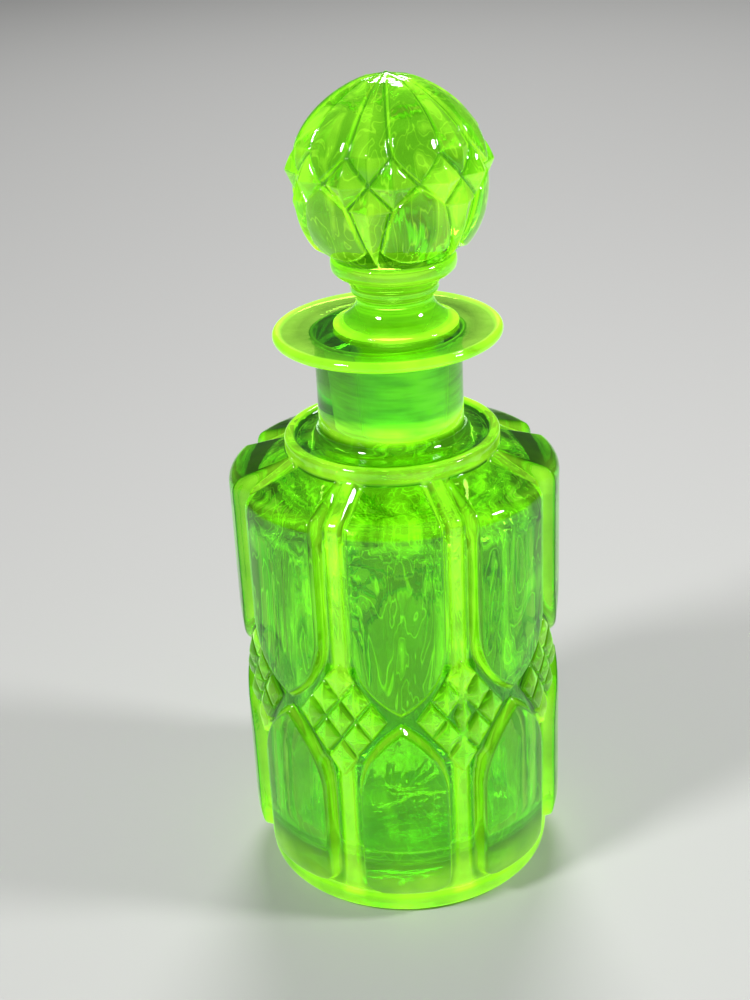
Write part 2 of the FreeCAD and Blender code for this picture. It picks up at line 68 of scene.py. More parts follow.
# body
SIDES = 8
STEP = 360 / SIDES                   # degrees from one panel to the next
BASE_R = 30.0
BASE_SWELL = 0.15                    # the base rim bellies out this much
BASE_RIM_H = 3.9
BASE_ROUND = 1.3
PUNT_R = 23.0                        # shallow recess under the base
PUNT_H = 0.8
GROOVE_R = 28.8                      # ground level between ribs and panels
PANEL_R = 32.95
PANEL_CROWN = 0.30                   # a panel's edges stand this much lower than its middle
PANEL_PINCH_R = 31.5                 # panel face where the upper and lower tips meet
PINCH_Z = 48.2
PANEL_LOW_Z = 4.6
PANEL_FOOT_IN = 1.9                  # the face pulls in this much at its foot
UPPER_TIP_Z = 47.9                   # foot of the upper panel's point
LOWER_TIP_Z = 46.2                   # top of the lower panel's point
UPPER_HALF = 9.75                    # half width of the upper panel, and where its arch begins
UPPER_SPRING_Z = 64.3
LOWER_HALF = 9.45
LOWER_SPRING_Z = 29.0
LOWER_CORNER = 4.6                   # rounded foot corners of the lower panel
PANEL_BEVEL = 1.15                   # width of the slope round a panel
PANEL_MID_R = 31.0                   # widths across a panel are measured on this radius
CROWN_HALF = 8.6                     # and its crown is full this far from its middle
RIB_R = 30.1
RIB_CREST_HALF = 1.05
RIB_FOOT_HALF = 2.2
RIB_CLEAR = 2.05                     # a panel starts this far from the middle of a rib
RIB_MID_R = 29.6                     # widths across a rib are measured on this radius
UPPER_RIB_Z = (54.0, 55.5)           # the upper ribs rise between these heights
SHOULDER_Z = 88.0
SHOULDER_ROWS = 30
CORNER_ROW = 9                       # the row that turns the corner, where the faces get a painted highlight
WALL_TOP_Z = 84.0                    # the wall's rows end and the shoulder's begin here
RING_R = 21.3
RING_UNDER_Z = 92.9
RING_TOP_Z = 95.9
RING_BAND_W = 2.2
RING_ROUND = 0.8
PLATEAU_Z = 95.4

# diamond clusters
DIAMOND_Z = 46.8
ROW_PITCH = 4.35
COLUMN_DEG = 5.85
BAND_R = 30.5                        # ground level between the cells
BAND_Z = (34.0, 38.0, 55.0, 60.5)    # the thicker belt rises, runs level and falls
CELL_SCALE = 0.96                    # a cell's share of its pitch
CELL_STEP = 0.75                     # a cell's steep border
CELL_POINT = 1.10                    # its low point above the border
SEAM_CELL = 0.62                     # the cell on the mould seam keeps this share of its width
HEAD_STEP = 0.70
HEAD_POINT = 0.75
LOW_HEAD_Z = 37.7

# neck, lip and bore
NECK_R = 14.3
NECK_FILLET = 1.8
LIP_INNER_R = 12.8                   # last ring of the flat lip before the bore
LIP_R = 22.2
LIP_UNDER_Z = 115.3
BORE_OFF = (STOPPER_LOW.x + STOPPER_HIGH.x) / 2 / MM
BORE_TOP_R = 9.6
BORE_LOW_R = 8.6
BORE_LOW_Z = 97.0
THROAT_R = 8.3

# inside
INNER_R = 25.2
INNER_FLOOR_Z = 7.2
INNER_FLOOR_ROUND = 9.0
INNER_WALL_TOP_Z = 79.0
INNER_SHOULDER_R = 19.5
INNER_SHOULDER_Z = 87.0

# stopper
PETALS = 6
SECTOR = 360 / PETALS                # degrees from one petal to the next
TIP_Z = STOPPER_HIGH.z / MM
PLUG_LOW_Z = STOPPER_LOW.z / MM
EQUATOR_Z = 148.2
KNOB_R = 18.25                       # petal faces at the equator
KNOB_GROOVE = 1.1                    # grooves between them lie this much deeper
KNOB_TIP_R = 19.35                   # points of the belt
KNOB_LOW_Z = 131.2
DOME_POWER = 1.92                    # the top half, pointed like an onion rather than round
DOME_ROOT = 0.66
BOWL_POWER = 3.2                     # the lower half
BELT_SIDE = 14.6                     # degrees from a wedge to the belt's points beside it
BELT_UP = 4.95                       # half heights of the belt's points
BELT_DOWN = 4.5
WEDGE_HIGH_Z = 153.4                 # widest place of the wedges above and below
WEDGE_LOW_Z = 143.7
WEDGE_END_Z = 132.9
WEDGE_RISE = 1.05
WEDGE_FULL_Z = 153.3                 # an upper wedge narrows from here to the tip
WEDGE_HALF_UP = 3.9
WEDGE_HALF_DOWN = 3.8
WEDGE_POINT = 1.25                   # height of a wedge's end in the belt
POINT_EDGE = 0.35                    # steep border of the knob's points
PETAL_OPEN_UP = 3.3                  # degrees that a petal widens per mm from the belt
PETAL_OPEN_DOWN = 4.6
PETAL_BEVEL = 0.60
PETAL_BULGE = 0.30
PETAL_SINK = 0.25
SCALLOP_Z = 133.1                    # round foot of the lower petals
KNOB_COLUMNS = PETALS * 88
KNOB_ROWS = 165
COLLAR_R = 12.0
COLLAR_LOW_Z = 128.2
STEP_RING_R = 8.4
STEP_RING_Z = 124.6
WAIST_R = 7.4
WAIST_Z = 122.3
FOOT_R = 12.1
FOOT_GAP = 0.12
PLUG_GAP = 0.06
PLUG_ROUND = 0.8
PETAL_TURN = 17.8                    # one petal faces this many degrees right of the front

# how strongly the glass glows green, by place: partly its own green light, and partly painted
# light, brighter on edges, rims, crests, points and the base, darker in grooves and creases
LIP_EDGE = 0.80
RIM = 0.60
STRONG = 0.50
BASE_GLOW = 0.42
PUNT_GLOW = 0.30
STEM_GLOW = 0.27
SEAT = 0.21
MID = 0.19
SOFT = 0.11
FAINT = 0.04
INSIDE = 0.02
GROOVE_GLOW = 0.004
FOOT_GLOW = 0.30                     # painted light: the wall above the base rim is painted brighter, fading upwards
RIM_FOOT_GLOW = 0.26                 # more painted light, close to the rim
RIB_GLOW = 0.50
CELL_GLOW = 0.20                     # painted light on a diamond's border, and its point above that
CELL_POINT_GLOW = 0.18
HEAD_GLOW = 0.46
UPPER_FACE_GLOW = 0.05
LOWER_FACE_GLOW = 0.09
PANEL_LINE = 0.32                    # painted highlight: bright line along a panel's edge
SHOULDER_GROOVE = 0.02
SHOULDER_LINE = 0.40
SHOULDER_FACE = 0.05
SHOULDER_CORNER = 0.16
PETAL_LINE = 0.40
UPPER_PETAL_GLOW = 0.20
# painted highlight: the lower petals are painted brighter than the upper ones
LOWER_PETAL_GLOW = 0.32
WEDGE_GLOW = 0.22
KNOB_GROOVE_GLOW = 0.015
FACET_GLOW = 0.09                    # painted light and shade: neighbouring facets differ by twice this
NECK_BAND_Z = 101.3                  # the neck is painted brighter below this, level with the end of the joint
CALM = 0.32                          # pressing ripples left on the lower wall and the floor inside, and their painted light streaks
# strength of the knob's ripples and of their painted light streaks
KNOB_RIPPLE = 0.45

# one mould seam runs down the rib right of the front panel, the other is opposite
SEAM_TURN = STEP / 2
SEAM_HALF = 0.35
SEAM_H = 0.10


# ------------------------------------------------------------------ small maths
def ramp(x, low, high):
    t = np.clip((x - low) / (high - low), 0, 1)
    return t * t * (3 - 2 * t)


def bevel(x, low, high, soft=0.16):
    # straight slope from 0 to 1 with a little rounding at both ends
    t = np.clip((x - low) / (high - low), -soft, 1 + soft)
    foot = (t + soft) ** 2 / (4 * soft)
    head = 1 - (1 + soft - t) ** 2 / (4 * soft)
    return np.where(t < soft, foot, np.where(t > 1 - soft, head, t))


def arc_points(centre, radius, start, stop, count):
    # points of an arc in the (r, z) half plane, angles in degrees
    angles = np.radians(np.linspace(start, stop, count))
    return [(centre[0] + radius * math.cos(a), centre[1] + radius * math.sin(a)) for a in angles]


def through(points, count):
    # count points evenly spaced along a polyline
    p = np.array(points, float)
    seg = np.hypot(*np.diff(p, axis=0).T)
    run = np.concatenate([[0], np.cumsum(seg)])
    at = np.linspace(0, run[-1], count)
    return np.stack([np.interp(at, run, p[:, 0]), np.interp(at, run, p[:, 1])], 1)


# ------------------------------------------------------------------ ring meshes
class RingMesh:
    """A closed shell made of stacked rings, each ring a loop of points around the axis."""

    def __init__(self):
        self.verts = []
        self.faces = []
        self.marks = {"glow": [], "ground": [], "inner": []}
        self.reach = []
        self.last = None
        self.count = 0

    def add_ring(self, xyz, glow, ground=0.0, inner=0.0):
        n = len(xyz)
        self.reach.append(np.hypot(xyz[:, 0], xyz[:, 1]))
        ids = np.arange(self.count, self.count + n)
        self.verts.append(np.asarray(xyz, float))
        self.marks["glow"].append(np.broadcast_to(np.asarray(glow, float), n))
        self.marks["ground"].append(np.broadcast_to(np.asarray(ground, float), n))
        self.marks["inner"].append(np.broadcast_to(np.asarray(inner, float), n))
        self.count += n
        if self.last is not None:
            self.bridge(self.last, ids)
        self.last = ids
        return ids

    def bridge(self, a, b):
        if len(a) == len(b):
            # each quad is split along the diagonal that follows the relief
            a2, b2 = np.roll(a, -1), np.roll(b, -1)
            ra, rb = self.reach[-2], self.reach[-1]
            rising = np.abs(ra - np.roll(rb, -1)) <= np.abs(np.roll(ra, -1) - rb)
            one = np.where(rising[:, None], np.stack([a, a2, b2], 1), np.stack([a, a2, b], 1))
            two = np.where(rising[:, None], np.stack([a, b2, b], 1), np.stack([a2, b2, b], 1))
            self.faces.extend(one.tolist())
            self.faces.extend(two.tolist())
            return
        fine, coarse, flip = (a, b, False) if len(a) > len(b) else (b, a, True)
        k = len(fine) // len(coarse)
        for j in range(len(coarse)):
            j2 = (j + 1) % len(coarse)
            span = [int(fine[(j * k + i) % len(fine)]) for i in range(k + 1)]
            face = span + [int(coarse[j2]), int(coarse[j])]
            self.faces.append(face[::-1] if flip else face)

    def close(self, ring, point, glow, upward):
        # closes the shell with a fan of triangles to one point on the axis
        self.verts.append(np.array([point], float))
        for key, value in (("glow", glow), ("ground", 0.0), ("inner", 0.0)):
            self.marks[key].append(np.array([value]))
        tip = self.count
        self.count += 1
        after = np.roll(ring, -1)
        for i, j in zip(ring.tolist(), after.tolist()):
            self.faces.append([i, j, tip] if upward else [tip, j, i])

    def build(self, name):
        verts = np.concatenate(self.verts) * MM
        mesh = bpy.data.meshes.new(name)
        mesh.from_pydata(verts.tolist(), [], self.faces)
        for key, parts in self.marks.items():
            layer = mesh.attributes.new(key, "FLOAT", "POINT")
            layer.data.foreach_set("value", np.concatenate(parts).astype(np.float32))
        mesh.validate()
        mesh.shade_smooth()
        obj = bpy.data.objects.new(name, mesh)
        bpy.context.scene.collection.objects.link(obj)
        return obj


def ring_points(angle, r, z, off=0.0):
    # angle in radians from -Y towards +X
    r = np.broadcast_to(r, angle.shape)
    z = np.broadcast_to(z, angle.shape)
    return np.stack([off + r * np.sin(angle), -r * np.cos(angle), z], 1)


# ------------------------------------------------------------------ body relief
def body_columns():
    # even steps across each diamond cluster, then slightly wider ones to the panel's middle
    edge = 3 * COLUMN_DEG
    near = np.linspace(0, edge, 31)
    far = np.linspace(edge, STEP / 2, 9)[1:]
    half = np.concatenate([near, far])
    sector = np.concatenate([-half[::-1][:-1], half])[:-1]
    turns = [(k + 0.5) * STEP for k in range(SIDES)]
    return np.concatenate([t + sector for t in turns])


COLUMNS = body_columns()
ANGLE = np.radians(COLUMNS)
ALPHA = np.abs((COLUMNS % STEP) - STEP / 2)          # degrees from the nearest rib
SIGNED = (COLUMNS % STEP) - STEP / 2                 # the same, signed
BETA = STEP / 2 - ALPHA                              # degrees from the nearest panel's middle
SEAM_GAP = np.abs((COLUMNS - SEAM_TURN + 90) % 180 - 90)
ON_SEAM_RIB = SEAM_GAP < STEP / 2


def groove_curve(count):
    # ground level from the top of the wall over the shoulder to the ring
    pts = [(GROOVE_R, WALL_TOP_Z)]
    pts += arc_points((GROOVE_R - 1.6, SHOULDER_Z - 2.0), 1.6, 0, 60, 7)
    pts += [(RING_R - 0.2, RING_UNDER_Z - 1.2)]
    return through(pts, count)


def rib_curve(count):
    pts = [(RIB_R, WALL_TOP_Z)]
    pts += arc_points((RIB_R - 2.4, SHOULDER_Z - 1.5), 2.4, 0, 58, 9)
    pts += [(RING_R - 0.2, RING_UNDER_Z + 0.25)]
    return through(pts, count)


def panel_curve(count):
    pts = [(PANEL_R, WALL_TOP_Z)]
    pts += arc_points((PANEL_R - 3.1, SHOULDER_Z - 1.3), 3.1, 0, 73, 13)
    pts += [(RING_R - 0.2, RING_UNDER_Z - 0.2)]
    return through(pts, count)


def panel_face_radius(z):
    # panel faces pull in a little where the upper and lower tips meet, and at the foot
    up = PANEL_R - (PANEL_R - PANEL_PINCH_R) * np.clip((PINCH_Z + 13.2 - z) / 13.2, 0, 1) ** 2
    low = PANEL_R - (PANEL_R - PANEL_PINCH_R) * np.clip((z - PINCH_Z + 12.2) / 12.2, 0, 1) ** 2
    r = np.where(z > PINCH_Z, up, low)
    foot = np.clip((PANEL_LOW_Z + 7.5 - z) / 7.5, 0, 1)
    return r - PANEL_FOOT_IN * foot ** 2.2


def lancet_depth(x, z, half, tip, spring):
    # how far inside a pointed arch a place is; the arch hangs where its tip is below its spring
    rise = abs(spring - tip)
    r = (half * half + rise * rise) / (2 * half)
    beyond = spring - z if tip < spring else z - spring
    return r - np.hypot(x - (half - r), max(beyond, 0.0))


def ground_radius(z):
    # the wall is thicker along the diamond band
    rise = ramp(z, BAND_Z[0], BAND_Z[1]) - ramp(z, BAND_Z[2], BAND_Z[3])
    return GROOVE_R + (BAND_R - GROOVE_R) * rise


def cell_height(u, dv, scale, step, point):
    # low four-sided point on a steep border; u and dv run from 0 to 1 across half a cell
    t = 1 - (np.abs(u) + np.abs(dv)) / scale
    inside = np.clip(t, 0, 1)
    height = step * bevel(inside, 0, 0.12) + point * (1 - (1 - inside) ** 1.35)
    return np.where(t > 0, height, -1.0)


def wall_relief(z):
    """Radius and glow all round the wall at height z."""
    across = PANEL_MID_R * np.sin(np.radians(BETA))
    beside = RIB_MID_R * np.sin(np.radians(ALPHA))
    ground = ground_radius(z)
    flare = 1.0 + 0.45 * np.clip((12.0 - z) / 8.0, 0, 1) ** 1.5
    rib = bevel(-beside, -RIB_FOOT_HALF * flare, -RIB_CREST_HALF * flare)
    in_ribs = 1 - ramp(z, LOW_HEAD_Z - 0.5, LOW_HEAD_Z + 1.5) + ramp(z, *UPPER_RIB_Z)
    rib_r = GROOVE_R + (RIB_R - GROOVE_R) * rib * in_ribs

    if z > (UPPER_TIP_Z + LOWER_TIP_Z) / 2:
        depth = lancet_depth(across, z, UPPER_HALF, UPPER_TIP_Z, UPPER_SPRING_Z)
        face_glow = UPPER_FACE_GLOW
    else:
        depth = lancet_depth(across, z, LOWER_HALF, LOWER_TIP_Z, LOWER_SPRING_Z)
        dx = np.clip(across - (LOWER_HALF - LOWER_CORNER), 0, None)
        dz = np.clip(PANEL_LOW_Z + LOWER_CORNER - z, 0, None)
        depth = np.minimum(depth, LOWER_CORNER - np.hypot(dx, dz))
        face_glow = LOWER_FACE_GLOW
    depth = np.minimum(depth, beside - RIB_CLEAR)
    face = bevel(depth, 0.0, PANEL_BEVEL)
    crown = PANEL_CROWN * (across / CROWN_HALF) ** 2
    panel_r = ground + (panel_face_radius(z) - crown - ground) * face

    u = SIGNED / COLUMN_DEG
    v = (z - DIAMOND_Z) / ROW_PITCH
    cells = np.full_like(u, -1.0)
    for row in (-1, 0, 1):
        for j in range(3 - abs(row)):
            uc = 2 * j - (2 - abs(row))
            slim = np.where(ON_SEAM_RIB & (uc == 0) & (row == 0), SEAM_CELL, 1.0)
            cell = cell_height((u - uc) / slim, v - row, CELL_SCALE, CELL_STEP, CELL_POINT)
            cells = np.maximum(cells, cell)
    top = (z - DIAMOND_Z - 2 * ROW_PITCH) / ROW_PITCH
    top = top * (1.4 if top > 0 else 1.0)
    low = (z - LOW_HEAD_Z) / ROW_PITCH
    low = low * (1.08 if low > 0 else 0.95)
    heads = np.maximum(cell_height(u, top, 1.0, HEAD_STEP, HEAD_POINT),
                       cell_height(u, low, 1.0, HEAD_STEP, HEAD_POINT))
    cell_r = BAND_R + np.maximum(cells, heads)
    strip = bevel(-beside, -1.15, -0.65) * float(abs(v) < 2.0) * ON_SEAM_RIB
    cell_r = np.maximum(cell_r, ground + 0.9 * strip)

    r = np.maximum(np.maximum(rib_r, ground), np.maximum(panel_r, cell_r))
    rim = BASE_R + BASE_SWELL - 0.9 * np.clip((z - 3.2) / 0.9, 0, 1)
    if z < 4.1:
        r = np.full_like(r, rim)
    elif z < 5.6:
        blend = ramp(z, 4.1, 5.2)
        r = np.maximum(rim + (r - rim) * blend, np.minimum(r, rim))

    on_cell = np.clip((cell_r - BAND_R) / CELL_STEP, 0, 1)
    on_point = np.clip((cell_r - BAND_R - CELL_STEP) / CELL_POINT, 0, 1)
    # painted light: ribs, cells, heads and panel edges are painted brighter than the grooves, and
    # the foot brighter still
    glow = GROOVE_GLOW + RIB_GLOW * rib * in_ribs
    glow = glow + face_glow * face + PANEL_LINE * face * (1 - face) * 4
    glow = np.maximum(glow, on_cell * (CELL_GLOW + CELL_POINT_GLOW * on_point))
    glow = np.maximum(glow, HEAD_GLOW * (heads > 0))
    glow = glow + FOOT_GLOW * (1 - ramp(z, 9.0, 17.0)) + RIM_FOOT_GLOW * (1 - ramp(z, 3.8, 6.5))
    return r, glow


def shoulder_relief(mesh, rows):
    g, rb, pn = groove_curve(rows), rib_curve(rows), panel_curve(rows)
    for i in range(1, rows):
        beside = g[i, 0] * np.sin(np.radians(ALPHA))
        across = g[i, 0] * np.sin(np.radians(BETA))
        close = 1 - 0.55 * ramp(g[i, 0], 27.5, RING_R)
        rib = bevel(-beside, -RIB_FOOT_HALF, -RIB_CREST_HALF)
        depth = beside - RIB_CLEAR * (0.75 + 0.25 * close)
        face = bevel(depth, 0.0, PANEL_BEVEL)
        crown = PANEL_CROWN * (across / CROWN_HALF) ** 2
        r = g[i, 0] + rib * (rb[i, 0] - g[i, 0]) + face * (pn[i, 0] - crown - g[i, 0])
        z = g[i, 1] + rib * (rb[i, 1] - g[i, 1]) + face * (pn[i, 1] - g[i, 1])
        # painted light: ribs, panel edges and the corner row are painted brighter, grooves darker
        corner = math.exp(-((i - CORNER_ROW) / 3.5) ** 2)
        glow = SHOULDER_GROOVE + RIB_GLOW * rib + SHOULDER_LINE * face * (1 - face) * 4
        glow = glow + (SHOULDER_FACE + SHOULDER_CORNER * corner) * face
        mesh.add_ring(ring_points(ANGLE, r, z), glow)


def wall_rows():
    foot = np.linspace(BASE_RIM_H - 0.3, 11.5, 15)
    plain_low = np.linspace(11.5, 30.0, 5)[1:]
    first = DIAMOND_Z - 39 * ROW_PITCH / 10
    band = first + np.arange(80) * ROW_PITCH / 10
    plain_high = np.linspace(band[-1], WALL_TOP_Z, 6)[1:]
    return np.concatenate([foot, plain_low[:-1], band, plain_high])


# ------------------------------------------------------------------ the bottle
def seat_glow(z):
    # painted light: the ground joint is painted brightest at its lower end, and a little brighter
    # under the lip
    low = 1 - ramp(z, BORE_LOW_Z + 1.5, BORE_LOW_Z + 3.5)
    high = ramp(z, LIP_TOP_Z - 5.0, LIP_TOP_Z - 1.0)
    return float(SEAT + (STRONG - SEAT) * max(low, 0.5 * high))


def lip_glow(r):
    # painted light: brightest at the rim of the flat lip
    return float(FAINT + (MID - FAINT) * ramp(r, LIP_R - 6.5, LIP_R - 2.5))


def make_bottle():
    mesh = RingMesh()
    coarse = ANGLE[::4]
    seam_fine = SEAM_H * np.exp(-(np.sin(np.radians(SEAM_GAP)) * 20 / SEAM_HALF) ** 2)
    seam_coarse = seam_fine[::4]

    # underside, from the middle of the recess out to the wall's foot
    # painted light: the underside and the base ring are painted bright
    mesh.add_ring(ring_points(coarse, 1.0, PUNT_H), MID)
    first_ring = mesh.last
    for r in (6.0, 12.0, 18.0, PUNT_R - 1.2):
        mesh.add_ring(ring_points(coarse, r, PUNT_H), PUNT_GLOW)
    for r, z in arc_points((PUNT_R - 1.0, 0.4), 0.55, 100, -30, 4):
        mesh.add_ring(ring_points(coarse, r, max(z, 0.05)), STRONG)
    mesh.add_ring(ring_points(coarse, PUNT_R + 0.4, 0.0), BASE_GLOW)
    mesh.add_ring(ring_points(coarse, 26.0, 0.0), BASE_GLOW)
    for r, z in arc_points((BASE_R - BASE_ROUND, BASE_ROUND), BASE_ROUND, -90, 0, 7):
        mesh.add_ring(ring_points(coarse, r, z), BASE_GLOW)
    mesh.add_ring(ring_points(coarse, BASE_R + 0.12, 2.4), BASE_GLOW)
    mesh.add_ring(ring_points(ANGLE, BASE_R + BASE_SWELL, 3.0), BASE_GLOW)

    # wall, shoulder and ring
    for z in wall_rows():
        r, glow = wall_relief(z)
        mesh.add_ring(ring_points(ANGLE, r, z), glow)
    shoulder_relief(mesh, SHOULDER_ROWS)
    # painted light: the ring is painted bright round its rim and along its top edge
    mesh.add_ring(ring_points(ANGLE, RING_R - 0.05, RING_UNDER_Z + 0.45), RIM)
    mesh.add_ring(ring_points(coarse, RING_R + seam_coarse, RING_UNDER_Z + 0.9), RIM)
    ring_round = (RING_R - RING_ROUND, RING_TOP_Z - RING_ROUND)
    for r, z in arc_points(ring_round, RING_ROUND, 0, 90, 6):
        mesh.add_ring(ring_points(coarse, r + seam_coarse, z), RIM)
    mesh.add_ring(ring_points(coarse, RING_R - RING_BAND_W + 0.55, RING_TOP_Z), STRONG)
    mesh.add_ring(ring_points(coarse, RING_R - RING_BAND_W + 0.25, RING_TOP_Z - 0.15), MID)
    mesh.add_ring(ring_points(coarse, RING_R - RING_BAND_W, PLATEAU_Z), FAINT)

    # plateau, neck and lip
    neck_foot = PLATEAU_Z + 0.3
    mesh.add_ring(ring_points(coarse, 17.6, PLATEAU_Z + 0.12 + seam_coarse), FAINT)
    fillet = (NECK_R + NECK_FILLET, neck_foot + NECK_FILLET)
    for r, z in arc_points(fillet, NECK_FILLET, 270, 180, 7):
        mesh.add_ring(ring_points(coarse, r + seam_coarse, z), SOFT)
    # painted light: the neck is painted bright below NECK_BAND_Z
    for z in np.linspace(neck_foot + NECK_FILLET + 1, LIP_UNDER_Z - 1.0, 9):
        low = 1 - ramp(z, NECK_BAND_Z, NECK_BAND_Z + 1.2)
        glow = float(FAINT + (STRONG - FAINT) * low)
        mesh.add_ring(ring_points(coarse, NECK_R + seam_coarse, z), glow)
    for r, z in arc_points((NECK_R + 1.0, LIP_UNDER_Z - 1.0), 1.0, 180, 90, 4)[1:]:
        mesh.add_ring(ring_points(coarse, r, z), MID)
    half = (LIP_TOP_Z - LIP_UNDER_Z) / 2
    for r in (17.0, 18.8, 20.2):
        mesh.add_ring(ring_points(coarse, r, LIP_UNDER_Z), lip_glow(r))
    # painted light: the lip's round edge is painted brightest
    for r, z in arc_points((LIP_R - half, LIP_UNDER_Z + half), half, -90, 90, 13):
        mesh.add_ring(ring_points(coarse, r, z), LIP_EDGE)
    for r in (20.6, 20.0, 19.0, 17.5, 15.0, LIP_INNER_R):
        part = (LIP_R - half - r) / (LIP_R - half - LIP_INNER_R)
        mesh.add_ring(ring_points(coarse, r, LIP_TOP_Z, BORE_OFF * part), lip_glow(r))

    # ground bore, throat and inside
    mesh.add_ring(ring_points(coarse, BORE_TOP_R + 0.5, LIP_TOP_Z, BORE_OFF), SEAT)
    mesh.add_ring(ring_points(coarse, BORE_TOP_R, LIP_TOP_Z - 0.5, BORE_OFF), SEAT, 1.0)
    for z in np.linspace(LIP_TOP_Z - 1.5, BORE_LOW_Z + 1.0, 12):
        share = (z - BORE_LOW_Z) / (LIP_TOP_Z - 0.5 - BORE_LOW_Z)
        r = BORE_LOW_R + (BORE_TOP_R - BORE_LOW_R) * share
        mesh.add_ring(ring_points(coarse, r, z, BORE_OFF), seat_glow(z), 1.0)
    # painted light: the bore's lower end is painted bright
    mesh.add_ring(ring_points(coarse, BORE_LOW_R, BORE_LOW_Z, BORE_OFF), STRONG, 1.0)
    mesh.add_ring(ring_points(coarse, THROAT_R, BORE_LOW_Z - 0.4, BORE_OFF), MID)
    inside = [(THROAT_R, 94.5), (THROAT_R, 93.0)]
    inside += arc_points((THROAT_R + 3.6, 92.6), 3.6, 180, 235, 6)
    inside += [(INNER_SHOULDER_R - 4.0, INNER_SHOULDER_Z + 1.9)]
    inside = through(inside, 12)
    for i, (r, z) in enumerate(inside):
        off = BORE_OFF * (1 - ramp(i, 3, 11))
        mesh.add_ring(ring_points(coarse, r, z, float(off)), FAINT)
    corner = arc_points((INNER_R - 6.5, INNER_WALL_TOP_Z), 6.5, 68, 0, 12)
    for r, z in corner:
        mesh.add_ring(ring_points(coarse, r, z), INSIDE, inner=1.0)
    round_z = INNER_FLOOR_Z + 0.3 + INNER_FLOOR_ROUND
    for z in np.linspace(INNER_WALL_TOP_Z - 4, round_z + 2, 12):
        ripple = CALM + (1 - CALM) * float(ramp(z, 38.0, 50.0))
        mesh.add_ring(ring_points(coarse, INNER_R, z), INSIDE, inner=ripple)
    floor_centre = (INNER_R - INNER_FLOOR_ROUND, round_z)
    for r, z in arc_points(floor_centre, INNER_FLOOR_ROUND, 0, -90, 12):
        # painted light: the inner floor's corner is painted brighter towards the bottom
        glow = INSIDE + (FAINT - INSIDE) * (1 - ramp(z, 8.0, 16.0))
        mesh.add_ring(ring_points(coarse, r, z), glow, inner=CALM)
    for r in (11.0, 6.0, 1.5):
        mesh.add_ring(ring_points(coarse, r, INNER_FLOOR_Z + 0.3 * r / 16.0), FAINT, inner=CALM)
    mesh.close(mesh.last, (0, 0, INNER_FLOOR_Z), MID, True)
    mesh.close(first_ring, (0, 0, PUNT_H), STRONG, False)
    return mesh.build("bottle_glass")


# ------------------------------------------------------------------ the stopper
def knob_face(z):
    # radius of the petal faces: a pointed dome over a fuller bowl
    climb = np.clip((z - EQUATOR_Z) / (TIP_Z - EQUATOR_Z), 0, 1)
    up = KNOB_R * (1 - climb ** DOME_POWER) ** DOME_ROOT
    cone = np.maximum((TIP_Z - 0.25 - z) / 0.20, (TIP_Z - z) * 1.5)
    t = np.clip((EQUATOR_Z - z) / (EQUATOR_Z - KNOB_LOW_Z), 0, 1)
    low = KNOB_R - (KNOB_R - COLLAR_R - 0.2) * t ** BOWL_POWER
    return np.where(z >= EQUATOR_Z, np.minimum(up, cone), low)


def knob_heights(count):
    # heights spaced evenly along the knob's own curve, from the collar to the tip
    body = np.linspace(KNOB_LOW_Z + 0.2, TIP_Z - 2, 400)
    top = np.linspace(TIP_Z - 2, TIP_Z - 0.05, 200)[1:]
    z = np.concatenate([body, top])
    r = knob_face(z)
    run = np.concatenate([[0], np.cumsum(np.hypot(np.diff(z), np.diff(r)))])
    return np.interp(np.linspace(0, run[-1], count), run, z)


def soft_min(a, b, soft):
    return -soft * np.log(np.exp(-np.asarray(a) / soft) + np.exp(-np.asarray(b) / soft))


